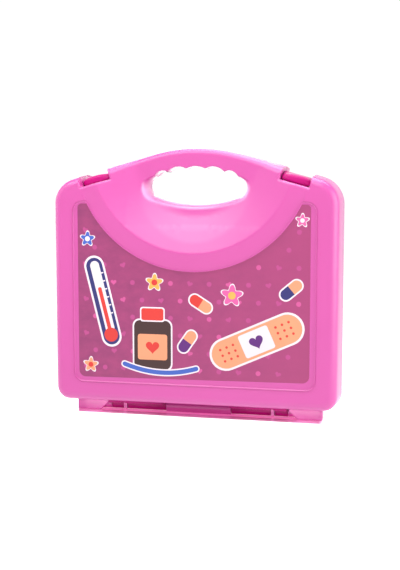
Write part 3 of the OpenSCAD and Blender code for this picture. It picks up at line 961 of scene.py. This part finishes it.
def make_panel():
    outline = panel_outline()
    loops = [outline]
    kept = []
    for ink, level, shape_ in art:
        p = np.array([tuple(q) for q in shape_], float)
        p = p[np.linalg.norm(p - np.roll(p, 1, 0), axis=1) > 0.01]
        kept.append((ink, p))
        loops.append(p)
    pts, segs = [], []
    for p in loops:
        n = len(pts)
        pts.extend(Vector(q) for q in p.tolist())
        segs.extend((n + i, n + (i + 1) % len(p)) for i in range(len(p)))
    res = delaunay_2d_cdt(pts, segs, [], 0, 1e-5)
    v2 = np.array([tuple(q) for q in res[0]])
    tri = np.array([tuple(f) for f in res[2]])
    cen = v2[tri].mean(1)
    ok = inside(cen, outline)
    tri, cen = tri[ok], cen[ok]
    names = ["film"] + sorted(set(k for k, _ in kept))
    idx = np.zeros(len(tri), int)
    for ink, p in kept:
        lo, hi = p.min(0), p.max(0)
        near = np.where(((cen > lo) & (cen < hi)).all(1))[0]
        if len(near):
            idx[near[inside(cen[near], p)]] = names.index(ink)
    back = {}
    for i, o in enumerate(res[3]):
        for k in o:
            back[k] = i
    rim = [back[i] for i in range(len(outline))]
    top = REC_D + 0.17
    verts = [(x, -top, z) for x, z in v2]
    faces = [tuple(t) for t in tri]
    mats = idx.tolist()
    nrm = normals(v2[rim])
    prev = rim
    for dep, ins in ((top - 0.06, -0.07), (REC_D - 0.05, -0.07)):
        row = []
        for i, vi in enumerate(rim):
            x, z = v2[vi] + nrm[i] * ins
            verts.append((x, -dep, z))
            row.append(len(verts) - 1)
        for i in range(len(rim)):
            j = (i + 1) % len(rim)
            if prev[i] != prev[j]:
                faces.append((prev[i], prev[j], row[j], row[i]))
                mats.append(0)
        prev = row
    o = mesh_object("panel_sheet", verts, faces, "lid", [panel_film("panel_film")] + [MATS[k] for k in names[1:]], 40, mats)
    o = fixed_normals(o)
    for p in o.data.polygons:
        p.use_smooth = False
    return o


sheet = make_panel()
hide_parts("front_label")


# ---------------------------------------------------------------- stage and light
def area(name, loc, target, size, power, colour=(1, 1, 1), size_y=None):
    d = bpy.data.lights.new(name, "AREA")
    d.energy, d.color = power, colour
    d.size = size
    if size_y:
        d.shape, d.size_y = "RECTANGLE", size_y
    o = bpy.data.objects.new(name, d)
    scene.collection.objects.link(o)
    o.location = loc
    o.rotation_euler = (Vector(target) - Vector(loc)).to_track_quat("-Z", "Y").to_euler()
    return o


fm = bpy.data.meshes.new("floor")
# the case stands on a long narrow shelf, so that the opened lid, which turns down, stays in sight
fm.from_pydata([(-6, -0.0238, 0), (6, -0.0238, 0), (6, 0.09, 0), (-6, 0.09, 0)], [], [(0, 1, 2, 3)])
floor = bpy.data.objects.new("floor", fm)
scene.collection.objects.link(floor)
# glowing white table, its glow stronger within 12 cm of the case; under the case a board with painted pink light
# (pinkish colour and pink glow), glossy along its front strip
fmat, fnt, fb = new_material("floor_glow_table_and_board")
fn, fl = fnt.nodes, fnt.links
tc = fn.new("ShaderNodeTexCoord")
sep = fn.new("ShaderNodeSeparateXYZ")
fl.new(tc.outputs["Object"], sep.inputs["Vector"])
parts = []
for axis, shift, a0, a1 in (("X", 0.0, 0.111, 0.117), ("Y", 0.0085, 0.011, 0.015)):
    ad = fn.new("ShaderNodeMath")
    ad.inputs[1].default_value = shift
    fl.new(sep.outputs[axis], ad.inputs[0])
    ab = fn.new("ShaderNodeMath")
    ab.operation = "ABSOLUTE"
    fl.new(ad.outputs[0], ab.inputs[0])
    mr = fn.new("ShaderNodeMapRange")
    mr.interpolation_type = "SMOOTHSTEP"
    mr.inputs["From Min"].default_value, mr.inputs["From Max"].default_value = a0, a1
    mr.inputs["To Min"].default_value, mr.inputs["To Max"].default_value = 1.0, 0.0
    fl.new(ab.outputs[0], mr.inputs["Value"])
    parts.append(mr)
both = fn.new("ShaderNodeMath")
both.operation = "MULTIPLY"
fl.new(parts[0].outputs["Result"], both.inputs[0])
fl.new(parts[1].outputs["Result"], both.inputs[1])
fb.inputs["Base Color"].default_value = (0.35, 0.35, 0.35, 1)
fb.inputs["Roughness"].default_value = 0.6
fb.inputs["Emission Color"].default_value = (1, 1, 1, 1)
fb.inputs["Emission Strength"].default_value = 0.8
far = fn.new("ShaderNodeVectorMath")
far.operation = "LENGTH"
fl.new(tc.outputs["Object"], far.inputs[0])
glow = fn.new("ShaderNodeMapRange")
glow.interpolation_type = "SMOOTHSTEP"
glow.inputs["From Min"].default_value, glow.inputs["From Max"].default_value = 0.12, 0.32
glow.inputs["To Min"].default_value, glow.inputs["To Max"].default_value = 1.3, 0.75
fl.new(far.outputs["Value"], glow.inputs["Value"])
fl.new(glow.outputs["Result"], fb.inputs["Emission Strength"])
glossy = fn.new("ShaderNodeBsdfGlossy")
glossy.inputs["Roughness"].default_value = 0.12
glossy.inputs["Color"].default_value = (0.95, 0.95, 0.95, 1)
# painted light: the board's pinkish base colour and pink emission stand in for pink light bounced under the case
painted_glow_board = fn.new("ShaderNodeBsdfPrincipled")
painted_glow_board.inputs["Base Color"].default_value = (0.6, 0.5, 0.56, 1)
painted_glow_board.inputs["Roughness"].default_value = 0.5
painted_glow_board.inputs["Emission Color"].default_value = (1.0, 0.09, 0.45, 1)      # painted glow: pink emission standing in for light through and off the pink plastic
painted_glow_board.inputs["Emission Strength"].default_value = 0.5
board = fn.new("ShaderNodeMixShader")
gl = fn.new("ShaderNodeMapRange")
gl.interpolation_type = "SMOOTHSTEP"
gl.inputs["From Min"].default_value, gl.inputs["From Max"].default_value = -0.0105, -0.0085
gl.inputs["To Min"].default_value, gl.inputs["To Max"].default_value = 0.62, 0.0
fl.new(sep.outputs["Y"], gl.inputs["Value"])
fl.new(gl.outputs["Result"], board.inputs["Fac"])
fl.new(painted_glow_board.outputs["BSDF"], board.inputs[1])
fl.new(glossy.outputs["BSDF"], board.inputs[2])
mix = fn.new("ShaderNodeMixShader")
fl.new(both.outputs[0], mix.inputs["Fac"])
fl.new(fb.outputs["BSDF"], mix.inputs[1])
fl.new(board.outputs["Shader"], mix.inputs[2])
fl.new(mix.outputs["Shader"], fn["Material Output"].inputs["Surface"])
fm.materials.append(fmat)

# white room: bright walls, a dimmer ceiling
world = bpy.data.worlds.new("studio")
scene.world = world
world.use_nodes = True
wn, wl = world.node_tree.nodes, world.node_tree.links
wtc = wn.new("ShaderNodeTexCoord")
wsep = wn.new("ShaderNodeSeparateXYZ")
wl.new(wtc.outputs["Generated"], wsep.inputs["Vector"])
wmr = wn.new("ShaderNodeMapRange")
wmr.interpolation_type = "SMOOTHSTEP"
wmr.inputs["From Min"].default_value, wmr.inputs["From Max"].default_value = 0.26, 0.5
wmr.inputs["To Min"].default_value, wmr.inputs["To Max"].default_value = 1.03, 0.5
wl.new(wsep.outputs["Z"], wmr.inputs["Value"])
low = wn.new("ShaderNodeMapRange")
low.interpolation_type = "SMOOTHSTEP"
low.inputs["From Min"].default_value, low.inputs["From Max"].default_value = -0.3, -0.02
low.inputs["To Min"].default_value, low.inputs["To Max"].default_value = 1.6, 1.0
wl.new(wsep.outputs["Z"], low.inputs["Value"])
wmu = wn.new("ShaderNodeMath")
wmu.operation = "MULTIPLY"
wl.new(wmr.outputs["Result"], wmu.inputs[0])
wl.new(low.outputs["Result"], wmu.inputs[1])
wl.new(wmu.outputs[0], wn["Background"].inputs["Strength"])
wn["Background"].inputs["Color"].default_value = (1, 1, 1, 1)
for lamp in (area("right_box", (1.15, -0.4, 0.4), (0, 0, 0.12), 1.2, 12.0, size_y=1.0),
             area("left_box", (-1.25, -0.15, 0.45), (0, 0, 0.12), 1.0, 2.5),
             area("over_box", (0.1, 0.12, 1.0), (0, 0, 0.12), 0.8, 9.5),
             area("front_box", (-0.26, -0.55, 0.9), (-0.02, 0, 0.22), 1.3, 9.4, size_y=0.6)):
    lamp.visible_camera = False
# bright backdrop, seen only as a sheen on the rims
sheet = area("back_sheet", (-0.75, 1.25, 0.5), (-0.75, 0, 0.15), 1.4, 15, size_y=1.4)
sheet.visible_camera = False
# thin strip under the front edge, for the light that the table sends below the case
for sx in (-1, 1):
    strip = area(f"table_strip_{sx}", (sx * 0.076, -0.025, 0.0035), (sx * 0.076, 0, 0.0045), 0.07, 0.0036, size_y=0.003)
    strip.visible_camera = False
sheet.visible_diffuse = False
scene.view_settings.view_transform = "Standard"
